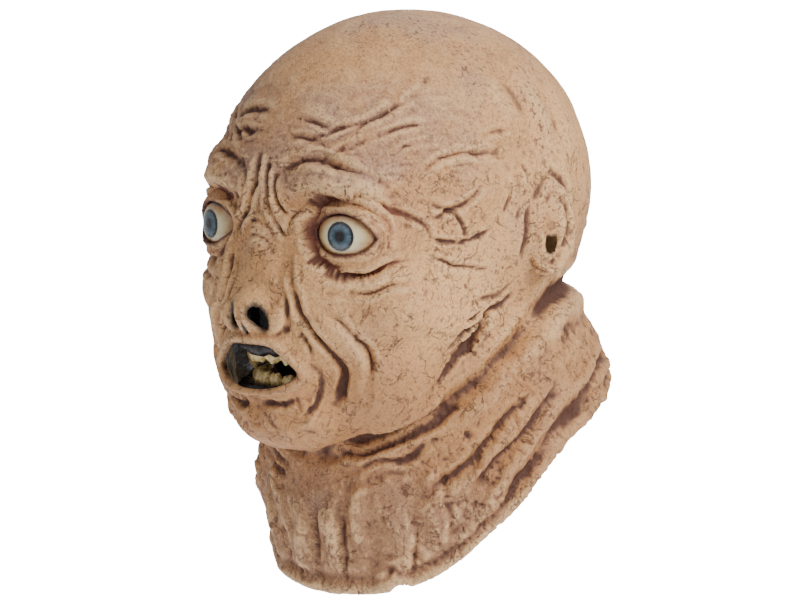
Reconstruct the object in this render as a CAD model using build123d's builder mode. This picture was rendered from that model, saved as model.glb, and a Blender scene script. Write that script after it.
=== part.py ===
"""Full-head latex costume mask of a bald, wrinkled ghoul, as separate solids.

The mask is one hollow rubber skin, worn over the head. Its painted eyes are plastic domes in lid
cups, its teeth stand in two glossy gums, screens close the mouth and the nostrils from behind, and
foam pads inside the skull hold it on the wearer. Millimetres, +Z up, the face looks along -Y and
the mask's left side is +X. The origin is the top of the wearer's head, under the crown pad.
"""

import os
from math import cos, radians, sin, sqrt

from build123d import *

os.makedirs("parts", exist_ok=True)

# ---- Driving dimensions -------------------------------------------------------------------------
sides = {"left": 1, "right": -1}
wall = 3.0  # latex skin
glue_gap = 0.3  # between the skin and a piece fixed inside it
pad_gap, pad_thickness = 0.5, 14.5
crown_z = pad_thickness + pad_gap + wall  # top of the skull, outside

# The head is the union of these bodies: the middle and the three semi-axes of each.
skull_semi = (105, 128, 110)
skull_centre = (0, -4, crown_z - skull_semi[2])
jaw_centre, jaw_semi = (0, -46, -150), (90, 93, 92)
muzzle_centre, muzzle_semi = (0, -105, -190), (42, 36, 34)
chin_centre, chin_semi = (0, -102, -219), (38, 30, 25)
brow_centre, brow_semi, brow_turn = (43, -102, -79), (36, 23, 17), 22
bridge_centre, bridge_semi = (0, -122, -132), (14, 17, 38)
nose_centre, nose_semi = (0, -134, -155), (18, 18, 16)
wing_centre, wing_semi = (14, -129, -160), (11, 14, 13)
ear_centre, ear_semi = (102, 14, -112), (11, 20, 30)
concha_centre, concha_semi = (113, 10, -115), (9, 10, 17)  # the hollow of the ear

# Neck sections: height, half width, half depth, and how far back the middle is.
neck_sections = [
    (-120, 70, 78, 4),
    (-150, 88, 96, 8),
    (-171, 98, 104, 14),
    (-189, 107, 110, 19),
    (-207, 112, 113, 21),
    (-240, 109, 109, 20),
    (-280, 107, 107, 18),
    (-326, 98, 98, 16),
    (-356, 92, 92, 15),
]
# The hem, seen from the side: a deep bib at the front that sweeps up to the nape.
hem_line = [(-130, -341), (-79, -338), (-50, -322), (-24, -293), (18, -251), (61, -227), (160, -204)]
below_hem = -400

eye_radius = 25.0
eye_centre = (49, -97, -110)
lid_thickness = 3.2
socket_turn, gaze_turn = 25, 15  # degrees that a lid cup and an eye look outwards
cup_depth = 4.0  # how far a cup reaches behind the middle of the eye
dome_wall = 2.0
iris_radius, pupil_radius, iris_depth = 8.8, 3.1, 1.2
cornea_radius, cornea_rim = 18.0, 9.3
eye_opening = (40, 27)
ring_hole, ring_thickness, ring_chamfer = 19.0, 3.0, 0.8

mouth_z = -190
mouth_opening = (62, 28)
lip_border = (16, 18)  # added to the opening to give the outside of the lips
lip_growth = 4.0  # how far the lips stand out from the muzzle
nostril_at, nostril_size, nostril_turn = (10.5, -160), (9.5, 15), 14
ear_hole_at, ear_hole_size = (8, -121), (7, 10)

arch_y = -100  # middle of the dental arches; the legs run back from here
gum_back_y = -86
upper_gum_z, lower_gum_z = -181, -204  # faces that the teeth stand on
gum_height, gum_width, tray_floor = 11.0, 9.0, 3.5
upper_arch, lower_arch = (29, 30), (26, 26)
# Angle from the front, width, depth and length of the teeth on one side.
upper_teeth = [(12, 8.6, 6.2, 8.0), (34, 8.0, 6.0, 8.5), (56, 7.6, 7.0, 14.2), (80, 9.0, 7.6, 9.5)]
lower_teeth = [(11, 6.8, 5.6, 7.5), (32, 6.8, 5.6, 6.6), (54, 7.0, 6.4, 8.0), (78, 8.0, 7.0, 8.0)]
belly_at, belly_size = 0.45, 1.06  # a tooth is widest this far along, by this much
tooth_taper, fang_taper, fang_length = 0.62, 0.28, 12
tongue_semi = (14.5, 15.5, 16)

screen_thickness, screen_corner = 0.8, 6
mouth_screen_size = (62, 48)
nostril_screen_size, nostril_screen_at = (22, 21), (12.5, -159.5)

crown_pad_size = (84, 104)
forehead_pad_z, forehead_pad_size = -46, (84, 34)
nape_pad_z, nape_pad_size = -84, (84, 54)
temple_pad_z, temple_pad_size = -74, (70, 46)
pad_corner = 0.3  # corner radius, as a share of the pad's shorter side


# ---- Helpers ------------------------------------------------------------------------------------
def ellipsoid(centre, semi_axes, turn=0):
    """A closed ellipsoid, made on its own, turned about the vertical and placed by its middle."""
    with BuildPart() as blob:
        Sphere(1)
        scale(by=semi_axes)
    return Pos(*centre) * Rot(0, 0, turn) * blob.part


def grown(semi_axes, by):
    """Semi-axes made longer, or shorter where the number is negative."""
    return tuple(length + by for length in semi_axes)


def on_side(point, side):
    """A point of the left side, moved to the side asked for."""
    return (point[0] * side, point[1], point[2])


def neck_body(inset):
    """The neck as a loft through ellipses, drawn in by a wall or a gap."""
    with BuildPart() as neck:
        for height, half_width, half_depth, back in neck_sections:
            with BuildSketch(Plane((0, back, height))):
                Ellipse(half_width - inset, half_depth - inset)
        loft()
    return neck.part


def head_bodies(inset):
    """The rounded bodies that make the head, each drawn in by a wall or a gap."""
    bodies = [
        ellipsoid(skull_centre, grown(skull_semi, -inset)),
        ellipsoid(jaw_centre, grown(jaw_semi, -inset)),
        ellipsoid(muzzle_centre, grown(muzzle_semi, -inset)),
        ellipsoid(chin_centre, grown(chin_semi, -inset)),
        ellipsoid(bridge_centre, grown(bridge_semi, -inset)),
        ellipsoid(nose_centre, grown(nose_semi, -inset)),
        neck_body(inset),
    ]
    for side in sides.values():
        brow_middle = on_side(brow_centre, side)
        bodies.append(ellipsoid(brow_middle, grown(brow_semi, -inset), side * brow_turn))
    return bodies


def turned_plane(side, turn):
    """A plane at the middle of an eye that faces out of the head, turned outwards by some degrees."""
    outward = (sin(radians(turn)) * side, -cos(radians(turn)), 0)
    return Plane(origin=on_side(eye_centre, side), x_dir=(-outward[1], outward[0], 0), z_dir=outward)


def almond(width, height):
    """An almond of two arcs, corner to corner."""
    left, right = (-width / 2, 0), (width / 2, 0)
    with BuildSketch() as outline:
        with BuildLine():
            ThreePointArc(left, (0, height / 2), right)
            ThreePointArc(right, (0, -height / 2), left)
        make_face()
    return outline.sketch


def fused(solids):
    """Several overlapping solids as one."""
    with BuildPart() as whole:
        add(solids)
    return whole.part


def export(part, name):
    """Writes one named sub-part."""
    part.label = name
    export_step(part, f"parts/{name}.step")


# ---- Shared bodies ------------------------------------------------------------------------------
outer_head = head_bodies(0)
for side in sides.values():
    outer_head.append(ellipsoid(on_side(wing_centre, side), wing_semi))
    outer_head.append(ellipsoid(on_side(ear_centre, side), ear_semi))
cavity = fused(head_bodies(wall))
fitting_space = fused(head_bodies(wall + glue_gap))
lip_body = ellipsoid(muzzle_centre, grown(muzzle_semi, lip_growth))
eye_outline, mouth_outline = almond(*eye_opening), almond(*mouth_opening)
lip_outline = almond(mouth_opening[0] + lip_border[0], mouth_opening[1] + lip_border[1])
conchas = [ellipsoid(on_side(concha_centre, side), concha_semi) for side in sides.values()]
mouth_plane, mouth_reach = Plane.XZ.offset(95), 80  # where cuts through the lips start, and their length
nose_plane, nose_reach = Plane.XZ.offset(125), 60
ear_plane_x, ear_reach = 80, 50

lid_cups = []
for side in sides.values():
    with BuildPart(turned_plane(side, socket_turn)) as lid_cup:
        Sphere(eye_radius + lid_thickness)
        split(bisect_by=turned_plane(side, socket_turn).offset(-cup_depth), keep=Keep.TOP)
    lid_cups.append(lid_cup.part)

# ---- The latex skin -----------------------------------------------------------------------------
with BuildPart() as lips:
    with BuildSketch(mouth_plane):
        with Locations((0, mouth_z)):
            add(lip_outline)
    extrude(amount=mouth_reach)
    add(lip_body, mode=Mode.INTERSECT)

with BuildPart() as head_skin:
    add(outer_head)
    add(lips.part)
    add(cavity, mode=Mode.SUBTRACT)
    add(lid_cups)
    for side in sides.values():
        with Locations(on_side(eye_centre, side)):
            Sphere(eye_radius + glue_gap, mode=Mode.SUBTRACT)
        with BuildSketch(turned_plane(side, gaze_turn)):
            add(eye_outline)
        extrude(amount=eye_radius * 2, mode=Mode.SUBTRACT)
        with BuildSketch(nose_plane):
            with Locations(Location((side * nostril_at[0], nostril_at[1], 0), (0, 0, side * nostril_turn))):
                Ellipse(nostril_size[0] / 2, nostril_size[1] / 2)
        extrude(amount=nose_reach, mode=Mode.SUBTRACT)
        with BuildSketch(Plane.YZ.offset(side * ear_plane_x)):
            with Locations(ear_hole_at):
                Ellipse(ear_hole_size[0] / 2, ear_hole_size[1] / 2)
        extrude(amount=side * ear_reach, mode=Mode.SUBTRACT)
    add(conchas, mode=Mode.SUBTRACT)
    with BuildSketch(mouth_plane):
        with Locations((0, mouth_z)):
            add(mouth_outline)
    extrude(amount=mouth_reach, mode=Mode.SUBTRACT)
    with BuildSketch(Plane.YZ):
        front, back = hem_line[0], hem_line[-1]
        with BuildLine():
            Spline(*hem_line)
            Polyline(front, (front[0], below_hem), (back[0], below_hem), back)
        make_face()
    extrude(amount=ear_plane_x + ear_reach, both=True, mode=Mode.SUBTRACT)
export(head_skin.part, "head_skin")


# ---- Eyes ---------------------------------------------------------------------------------------
def make_eye(side, side_name):
    """One glass-eye assembly: white dome, painted iris and pupil buttons, clear cornea, fixing ring."""
    socket, gaze = turned_plane(side, socket_turn), turned_plane(side, gaze_turn)
    with BuildPart(socket) as dome:
        Sphere(eye_radius)
        split(bisect_by=socket.offset(-cup_depth), keep=Keep.TOP)
        Sphere(eye_radius - dome_wall, mode=Mode.SUBTRACT)
    with BuildPart() as iris_button:
        with BuildSketch(gaze):
            Circle(iris_radius)
        extrude(amount=eye_radius * 2)
        with Locations(gaze):
            Sphere(eye_radius, mode=Mode.INTERSECT)
            Sphere(eye_radius - iris_depth, mode=Mode.SUBTRACT)
    with BuildPart() as pupil:
        with BuildSketch(gaze):
            Circle(pupil_radius)
        extrude(amount=eye_radius * 2)
        add(iris_button.part, mode=Mode.INTERSECT)
    with BuildPart() as eye_dome:
        add(dome.part)
        add(iris_button.part, mode=Mode.SUBTRACT)
    with BuildPart() as iris:
        add(iris_button.part)
        add(pupil.part, mode=Mode.SUBTRACT)
    cornea_middle = sqrt(eye_radius**2 - cornea_rim**2) - sqrt(cornea_radius**2 - cornea_rim**2)
    with BuildPart() as cornea:
        with BuildSketch(gaze):
            Circle(cornea_rim + 1)
        extrude(amount=eye_radius * 2)
        with Locations(gaze.offset(cornea_middle)):
            Sphere(cornea_radius, mode=Mode.INTERSECT)
        with Locations(gaze):
            Sphere(eye_radius, mode=Mode.SUBTRACT)
    cup_rim = sqrt((eye_radius + lid_thickness) ** 2 - cup_depth**2)
    with BuildPart() as eye_ring:
        with BuildSketch(socket.offset(-cup_depth)):
            Circle(cup_rim)
            Circle(ring_hole, mode=Mode.SUBTRACT)
        extrude(amount=-ring_thickness)
        back_edges = eye_ring.edges().group_by(Axis(socket.origin, socket.z_dir))[0]
        chamfer(back_edges, ring_chamfer)
    export(eye_dome.part, f"eye_dome_{side_name}")
    export(iris.part, f"iris_{side_name}")
    export(pupil.part, f"pupil_{side_name}")
    export(cornea.part, f"cornea_{side_name}")
    export(eye_ring.part, f"eye_ring_{side_name}")


for side_name, side in sides.items():
    make_eye(side, side_name)


# ---- Mouth --------------------------------------------------------------------------------------
def arch_outline(half_width, half_depth):
    """A dental arch seen from above: half an ellipse at the front, straight legs behind it."""
    left, right = (-half_width, arch_y), (half_width, arch_y)
    with BuildSketch() as outline:
        with BuildLine():
            EllipticalCenterArc((0, arch_y), half_width, half_depth, start_angle=180, arc_size=180)
            Polyline(right, (half_width, gum_back_y), (-half_width, gum_back_y), left)
        make_face()
    return outline.sketch


def make_gum(arch, face_z, away, floor):
    """A U-shaped gum that ends flat where the teeth stand, with a floor if it carries the tongue."""
    with BuildPart() as gum:
        with BuildSketch(Plane.XY.offset(face_z)):
            add(arch_outline(*arch))
        extrude(amount=away * (gum_height + floor))
        with BuildSketch(Plane.XY.offset(face_z)):
            add(arch_outline(arch[0] - gum_width, arch[1] - gum_width))
        extrude(amount=away * gum_height, mode=Mode.SUBTRACT)
        add(fitting_space, mode=Mode.INTERSECT)
    return gum.part


def make_tooth(arch, face_z, direction, angle, width, depth, length):
    """One tapered tooth that stands on the gum face; the long ones are drawn out to a fang."""
    middle_x, middle_y = arch[0] - gum_width / 2, arch[1] - gum_width / 2
    foot = (middle_x * sin(radians(angle)), arch_y - middle_y * cos(radians(angle)))
    taper = fang_taper if length > fang_length else tooth_taper
    with BuildPart() as tooth:
        for share, size in [(0, 1), (belly_at, belly_size), (1, taper)]:
            with BuildSketch(Plane((*foot, face_z + direction * length * share)).rotated((0, 0, angle))):
                Ellipse(width / 2 * size, depth / 2 * size)
        loft()
    return tooth.part


export(make_gum(upper_arch, upper_gum_z, 1, 0), "upper_gum")
export(make_gum(lower_arch, lower_gum_z, -1, tray_floor), "lower_gum")
for side_name, side in sides.items():
    for number, (angle, width, depth, length) in enumerate(upper_teeth, start=1):
        tooth = make_tooth(upper_arch, upper_gum_z, -1, side * angle, width, depth, length)
        export(tooth, f"upper_tooth_{side_name}_{number}")
    for number, (angle, width, depth, length) in enumerate(lower_teeth, start=1):
        tooth = make_tooth(lower_arch, lower_gum_z, 1, side * angle, width, depth, length)
        export(tooth, f"lower_tooth_{side_name}_{number}")

tongue_root_z = lower_gum_z - gum_height  # the floor of the lower gum
with BuildPart() as tongue:
    add(ellipsoid((0, arch_y, tongue_root_z), tongue_semi))
    split(bisect_by=Plane.XY.offset(tongue_root_z), keep=Keep.TOP)
    split(bisect_by=Plane.XZ.offset(1 - gum_back_y), keep=Keep.TOP)
export(tongue.part, "tongue")

with BuildPart() as mouth_screen:
    with BuildSketch(Plane.XZ.offset(-gum_back_y)):
        with Locations((0, (upper_gum_z + lower_gum_z) / 2)):
            RectangleRounded(*mouth_screen_size, screen_corner)
    extrude(amount=-screen_thickness)
    add(fitting_space, mode=Mode.INTERSECT)
export(mouth_screen.part, "mouth_screen")

# ---- Nostril screens ----------------------------------------------------------------------------
inside_jaw = ellipsoid(jaw_centre, grown(jaw_semi, -wall - glue_gap))
behind_screen = ellipsoid(jaw_centre, grown(jaw_semi, -wall - glue_gap - screen_thickness))
for side_name, side in sides.items():
    with BuildPart() as nostril_screen:
        with BuildSketch(mouth_plane):
            with Locations((side * nostril_screen_at[0], nostril_screen_at[1])):
                RectangleRounded(*nostril_screen_size, screen_corner)
        extrude(amount=mouth_reach)
        add(inside_jaw, mode=Mode.INTERSECT)
        add(behind_screen, mode=Mode.SUBTRACT)
    export(nostril_screen.part, f"nostril_screen_{side_name}")

# ---- Foam pads ----------------------------------------------------------------------------------
pad_outside = ellipsoid(skull_centre, grown(skull_semi, -wall - pad_gap))
pad_inside = ellipsoid(skull_centre, grown(skull_semi, -wall - pad_gap - pad_thickness))


def make_pad(plane, centre, size, reach):
    """A foam pad that lines the skull: a rounded block trimmed to the curve of the wall."""
    with BuildPart() as pad:
        with BuildSketch(plane):
            with Locations(centre):
                RectangleRounded(*size, min(size) * pad_corner)
        extrude(amount=reach)
        add(pad_outside, mode=Mode.INTERSECT)
        add(pad_inside, mode=Mode.SUBTRACT)
    return pad.part


skull_middle = Plane.XY.offset(skull_centre[2])
skull_length = skull_semi[1] + 10
export(make_pad(skull_middle, skull_centre[:2], crown_pad_size, skull_length), "crown_pad")
export(make_pad(Plane.XZ, (0, forehead_pad_z), forehead_pad_size, skull_length), "forehead_pad")
export(make_pad(Plane.XZ, (0, nape_pad_z), nape_pad_size, -skull_length), "nape_pad")
for side_name, side in sides.items():
    temple_pad = make_pad(Plane.YZ, (skull_centre[1], temple_pad_z), temple_pad_size, side * skull_length)
    export(temple_pad, f"temple_pad_{side_name}")
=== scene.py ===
"""The looks of a full-head latex ghoul mask, built around its CAD frame."""

import math

import bpy
import numpy as np
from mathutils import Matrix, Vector, noise
from mathutils.bvhtree import BVHTree


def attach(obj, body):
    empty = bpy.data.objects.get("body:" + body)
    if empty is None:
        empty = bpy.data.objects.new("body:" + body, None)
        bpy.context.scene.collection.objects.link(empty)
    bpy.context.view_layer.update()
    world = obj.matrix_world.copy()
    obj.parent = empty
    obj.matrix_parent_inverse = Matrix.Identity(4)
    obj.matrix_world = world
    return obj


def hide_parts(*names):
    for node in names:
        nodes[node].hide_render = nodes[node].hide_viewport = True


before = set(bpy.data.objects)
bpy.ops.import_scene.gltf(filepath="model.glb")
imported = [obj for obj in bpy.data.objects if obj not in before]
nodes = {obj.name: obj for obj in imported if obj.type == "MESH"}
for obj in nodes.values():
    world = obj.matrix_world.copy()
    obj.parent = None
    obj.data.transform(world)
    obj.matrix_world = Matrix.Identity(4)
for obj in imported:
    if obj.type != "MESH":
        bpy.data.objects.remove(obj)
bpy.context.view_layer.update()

MM = 0.001
LEFT, RIGHT = 1, -1
rng = np.random.default_rng(31)
CELL = 3.0 * MM  # size of the skin's coarse faces
SIDE_NAMES = {LEFT: "left", RIGHT: "right"}
BOTH = tuple(SIDE_NAMES)


# ---- Small tools --------------------------------------------------------------------------------
def mm(*values):
    """Millimetres as metres."""
    return tuple(value * MM for value in values)


def select_only(obj):
    """Makes one object active and selected, because an operator acts on all that is selected."""
    bpy.ops.object.select_all(action="DESELECT")
    obj.select_set(True)
    bpy.context.view_layer.objects.active = obj


def finish_object(obj, name):
    """Puts a piece's place into its mesh and names it."""
    select_only(obj)
    bpy.ops.object.transform_apply(location=True, rotation=True, scale=True)
    obj.name = obj.data.name = name
    return obj


def joined(objects):
    """Several objects as one mesh with its place applied."""
    bpy.ops.object.select_all(action="DESELECT")
    for obj in objects:
        obj.select_set(True)
    bpy.context.view_layer.objects.active = objects[0]
    bpy.ops.object.join()
    bpy.ops.object.transform_apply(location=True, rotation=True, scale=True)
    return objects[0]


def modified(obj, kind, **settings):
    """Adds a modifier and applies it."""
    select_only(obj)
    modifier = obj.modifiers.new(kind.title(), kind)
    for setting, value in settings.items():
        setattr(modifier, setting, value)
    bpy.ops.object.modifier_apply(modifier=modifier.name)
    return obj


def points_of(obj):
    """The points of a mesh as rows of x, y and z."""
    co = np.empty(len(obj.data.vertices) * 3)
    obj.data.vertices.foreach_get("co", co)
    return co.reshape(-1, 3)


def normals_of(obj):
    """The outward direction at each point of a mesh."""
    normal = np.empty(len(obj.data.vertices) * 3)
    obj.data.vertices.foreach_get("normal", normal)
    return normal.reshape(-1, 3)


def move_points(obj, co):
    """Writes the points of a mesh."""
    obj.data.vertices.foreach_set("co", np.ascontiguousarray(co).ravel())
    obj.data.update()


def edges_of(obj):
    """The pairs of points that the edges join."""
    pairs = np.empty(len(obj.data.edges) * 2, int)
    obj.data.edges.foreach_get("vertices", pairs)
    return pairs.reshape(-1, 2)


def rim_points(obj):
    """A mask of the points on an open edge."""
    loops = np.empty(len(obj.data.loops), int)
    obj.data.loops.foreach_get("edge_index", loops)
    uses = np.bincount(loops, minlength=len(obj.data.edges))
    mask = np.zeros(len(obj.data.vertices), bool)
    mask[edges_of(obj)[uses == 1].ravel()] = True
    return mask


def neighbour_mean(values, pairs):
    """For each point, the mean over the points that it shares an edge with."""
    count = np.bincount(pairs.ravel(), minlength=len(values))
    columns = []
    for column in values.reshape(len(values), -1).T:
        total = np.bincount(pairs[:, 0], column[pairs[:, 1]], len(values))
        total += np.bincount(pairs[:, 1], column[pairs[:, 0]], len(values))
        columns.append(total / np.maximum(count, 1))
    return np.stack(columns, 1).reshape(values.shape)


def smoothed(values, pairs, rounds, share=0.5):
    """Values evened out between neighbours; share is one number, or one for each point."""
    for _ in range(rounds):
        values = values + (neighbour_mean(values, pairs) - values) * share
    return values


def ramp(value, low, high):
    """0 below low and 1 above high, with a smooth rise between them."""
    t = np.clip((value - low) / (high - low), 0, 1)
    return t * t * (3 - 2 * t)


def curve_through(stations, step):
    """A smooth open curve through some points, as points about one step apart."""
    stations = np.array(stations, float)
    before, after = 2 * stations[0] - stations[1], 2 * stations[-1] - stations[-2]
    padded = np.vstack([before, stations, after])
    pieces = []
    for a, b, c, d in zip(padded, padded[1:], padded[2:], padded[3:]):
        count = max(2, int(np.linalg.norm(c - b) / step))
        t = np.linspace(0, 1, count, endpoint=False)[:, None]
        pieces.append(b + 0.5 * t * (c - a + t * (2 * a - 5 * b + 4 * c - d + t * (3 * (b - c) + d - a))))
    return np.vstack(pieces + [stations[-1:]])


def grain(co, size, seed, octaves=3):
    """A cloudy number from about -1 to 1 at each point; size is that of its larger clouds."""
    offset = Vector((seed * 7.3, seed * 3.1, seed * 5.7))
    scale = 1 / size
    return np.array([noise.fractal(Vector(p) * scale + offset, 0.9, 2.1, octaves) for p in co])


# ---- The clay form of the head ------------------------------------------------------------------
EYE = np.array(mm(49, -97, -110))  # the middle of the left eye
EYE_RADIUS, LID_RADIUS = 25 * MM, 27.7 * MM  # the eye's ball, and the skin that hugs it
GAZE = math.radians(15)  # how far each eye looks outwards
WALL = 3.2 * MM  # the skin's thickness
LID_HALF_WIDTH, LID_ABOVE, LID_BELOW = 21, 13.5, 12  # the opening between the lids, in millimetres
MOUTH_HEIGHT, MOUTH_HALF_WIDTH = -190, 31  # in millimetres
OUT_OF_REACH = 9.0  # a field's value on the parts of the head that its opening isn't in
AXIS_Y = -4 * MM  # the upright line that stroke angles turn about
HEM_LINE = [  # place from front to back, and height, in millimetres
    (-150, -342), (-130, -341), (-79, -338), (-50, -322), (-24, -293), (18, -251), (61, -227), (160, -204),
]
NECK = [  # height, half width, half depth and how far back, from the top down
    (-120, 70, 78, 4), (-150, 88, 96, 8), (-171, 98, 104, 14), (-189, 106, 109, 19), (-207, 110, 111, 21),
    (-240, 107, 107, 20), (-280, 105, 105, 18), (-326, 96, 96, 16), (-356, 90, 90, 15),
]


def ball(centre, radii, turn=0.0):
    """A stretched ball of clay."""
    bpy.ops.object.select_all(action="DESELECT")
    bpy.ops.mesh.primitive_uv_sphere_add(
        segments=48, ring_count=24, radius=1,
        location=mm(*centre), rotation=(0, 0, math.radians(turn)), scale=mm(*radii),
    )
    return bpy.context.object


def ball_pair(centre, radii, turn=0.0):
    """The same ball on both sides of the face."""
    x, y, z = centre
    return [ball((x, y, z), radii, turn), ball((-x, y, z), radii, -turn)]


def neck_column():
    """The neck: a disc drawn up and down through its sections."""
    z, half_width, half_depth, back = NECK[0]
    bpy.ops.object.select_all(action="DESELECT")
    bpy.ops.mesh.primitive_circle_add(vertices=96, radius=1, fill_type="NGON")
    bpy.ops.object.mode_set(mode="EDIT")
    bpy.ops.transform.resize(value=mm(half_width, half_depth, 1), center_override=(0, 0, 0))
    bpy.ops.transform.translate(value=mm(0, back, z))
    for (z, half_width, half_depth, back), (last_z, last_width, last_depth, last_back) in zip(NECK[1:], NECK):
        step = mm(0, back - last_back, z - last_z)
        bpy.ops.mesh.extrude_region_move(TRANSFORM_OT_translate={"value": step})
        bpy.ops.transform.resize(
            value=(half_width / last_width, half_depth / last_depth, 1), center_override=mm(0, back, z)
        )
    bpy.ops.mesh.select_all(action="SELECT")
    bpy.ops.mesh.normals_make_consistent(inside=False)
    bpy.ops.object.mode_set(mode="OBJECT")
    return bpy.context.object


def pressed(lumps, rounds):
    """Lumps of clay made into one closed form, with the seams between them smoothed over."""
    form = joined(lumps)
    form.data.remesh_voxel_size = CELL
    select_only(form)
    bpy.ops.object.voxel_remesh()
    return modified(form, "SMOOTH", factor=0.5, iterations=rounds)


def rough_head():
    """The large masses, well blended, and then the features, which keep more of their own shape."""
    masses = [
        neck_column(),
        ball((0, -4, -92), (106, 129, 111)),
        ball((0, -46, -150), (91, 94, 92)),
        ball((0, -106, -189), (47, 39, 38)),
        ball((0, -103, -216), (45, 35, 31)),
    ]
    masses += ball_pair((42, -101, -77), (38, 24, 19), 22)
    masses += ball_pair((52, -82, -150), (36, 33, 34))
    masses += ball_pair((46, -72, -200), (38, 38, 34))
    features = [pressed(masses, 37)]
    features += [ball((0, -121, -128), (14, 17, 36)), ball((0, -133, -156), (18, 18, 15))]
    features += ball_pair((14, -129, -160), (12, 14, 12))
    features += ball_pair((49, -97, -110), (30, 30, 29))
    features += ball_pair((101, 13, -112), (11, 19, 30))
    return pressed(features, 8)


# ---- Openings -----------------------------------------------------------------------------------
def eye_frame(side):
    """The middle of an eye, the way it looks, and the way across it towards its outer corner."""
    gaze = np.array([math.sin(GAZE) * side, -math.cos(GAZE), 0])
    return EYE * (side, 1, 1), gaze, np.array([-gaze[1], gaze[0], 0]) * side


def leaf(across, up, half_width, above, below):
    """Below 0 inside a leaf shape with pointed corners, and above 0 outside it."""
    height = np.where(up > 0, above, below)
    return np.abs(up / height) ** 1.4 + (across / half_width) ** 2 - 1


def lid_field(side):
    """The opening between the lids of one eye."""
    middle, gaze, outward = eye_frame(side)

    def field(co):
        """Below 0 between the lids, on the side that the eye looks to."""
        away = co - middle
        across, up = away @ outward, away[:, 2]
        inside = leaf(across, up + 0.05 * across, LID_HALF_WIDTH * MM, LID_ABOVE * MM, LID_BELOW * MM)
        return np.where(away @ gaze > 0, inside, OUT_OF_REACH)

    return field


def mouth_field(co):
    """The mouth, lifted a little over the two fangs and low at its corners."""
    x, y, z = co.T
    up = z - MOUTH_HEIGHT * MM + 3 * MM * (x / (MOUTH_HALF_WIDTH * MM)) ** 2
    above = 12.5 * MM + 2.5 * MM * np.exp(-(((np.abs(x) - 17 * MM) / (8 * MM)) ** 2))
    inside = leaf(x, up, MOUTH_HALF_WIDTH * MM, above, 13.5 * MM)
    return np.where(y < -0.09, inside, OUT_OF_REACH)


def nostril_field(side):
    """One nostril: an upright oval that leans towards its neighbour at the top."""
    lean = math.radians(14) * side

    def field(co):
        """Below 0 inside the nostril."""
        x, z = co[:, 0] - side * 10.5 * MM, co[:, 2] + 160 * MM
        across = x * math.cos(lean) + z * math.sin(lean)
        up = z * math.cos(lean) - x * math.sin(lean)
        inside = (across / (4.9 * MM)) ** 2 + (up / (7.4 * MM)) ** 2 - 1
        return np.where(co[:, 1] < -0.12, inside, OUT_OF_REACH)

    return field


def ear_field(side):
    """The small hole in one ear."""

    def field(co):
        """Below 0 inside the hole."""
        inside = ((co[:, 1] - 8 * MM) / (3.6 * MM)) ** 2 + ((co[:, 2] + 121 * MM) / (5.1 * MM)) ** 2 - 1
        return np.where(co[:, 0] * side > 0.08, inside, OUT_OF_REACH)

    return field


HEM = curve_through(HEM_LINE, 4) * MM


def hem_height(y):
    """How high the hem runs at each place from front to back."""
    return np.interp(y, HEM[:, 0], HEM[:, 1])


def hem_field(co):
    """Below 0 under the hem, with a small notch cut into its front."""
    notch = 6 * MM * np.exp(-(((co[:, 0] - 52 * MM) / (3.5 * MM)) ** 2)) * (co[:, 1] < 0)
    return (co[:, 2] - hem_height(co[:, 1]) - notch) / (10 * MM)


def cut(obj, field, reach):
    """Removes what is inside a field, draws the new edge onto its outline and evens the faces beside it."""
    select_only(obj)
    bpy.ops.object.mode_set(mode="EDIT")
    bpy.ops.mesh.select_mode(type="VERT")
    bpy.ops.mesh.select_all(action="DESELECT")
    bpy.ops.object.mode_set(mode="OBJECT")
    obj.data.vertices.foreach_set("select", field(points_of(obj)) < 0)
    bpy.ops.object.mode_set(mode="EDIT")
    bpy.ops.mesh.delete(type="VERT")
    bpy.ops.object.mode_set(mode="OBJECT")
    co, pairs = points_of(obj), edges_of(obj)
    edge = rim_points(obj) & (field(co) < reach)
    step = 0.1 * MM
    for _ in range(8):
        rim = co[edge]
        value = field(rim)
        slope = np.stack([(field(rim + step * axis) - value) / step for axis in np.eye(3)], 1)
        move = -value[:, None] * slope / np.maximum((slope**2).sum(1, keepdims=True), 1e-9)
        length = np.maximum(np.linalg.norm(move, axis=1, keepdims=True), 1e-9)
        co[edge] = rim + move * np.minimum(1, 2 * MM / length) * 0.8
    near = (field(co) < reach) & ~edge
    move_points(obj, smoothed(co, pairs, 6, 0.5 * near[:, None]))
    return obj


# ---- Sculpting ----------------------------------------------------------------------------------
def crease(x):
    """A sharp groove between two soft lips."""
    return 0.32 * np.exp(-3 * (np.abs(x) - 1.3) ** 2) - 0.75 * np.exp(-6 * x**2) - 0.3 * np.exp(-1.5 * x**2)


def cord(x):
    """A rounded ridge with a shallow valley on each side."""
    return np.exp(-2 * x**2) - 0.35 * np.exp(-5 * (np.abs(x) - 1.5) ** 2)


def fold(x):
    """A roll of skin that hangs over a deep groove on its lower side."""
    roll, groove = np.exp(-1.6 * (x - 0.75) ** 2), np.exp(-7 * (x + 0.25) ** 2)
    lip = np.exp(-3 * (x + 1.1) ** 2)
    return 0.8 * roll - 1.1 * groove + 0.25 * lip


def on_side(stations, side):
    """The stations of a path, moved to one side of the head."""
    return [(across * side, height) for across, height in stations]


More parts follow.
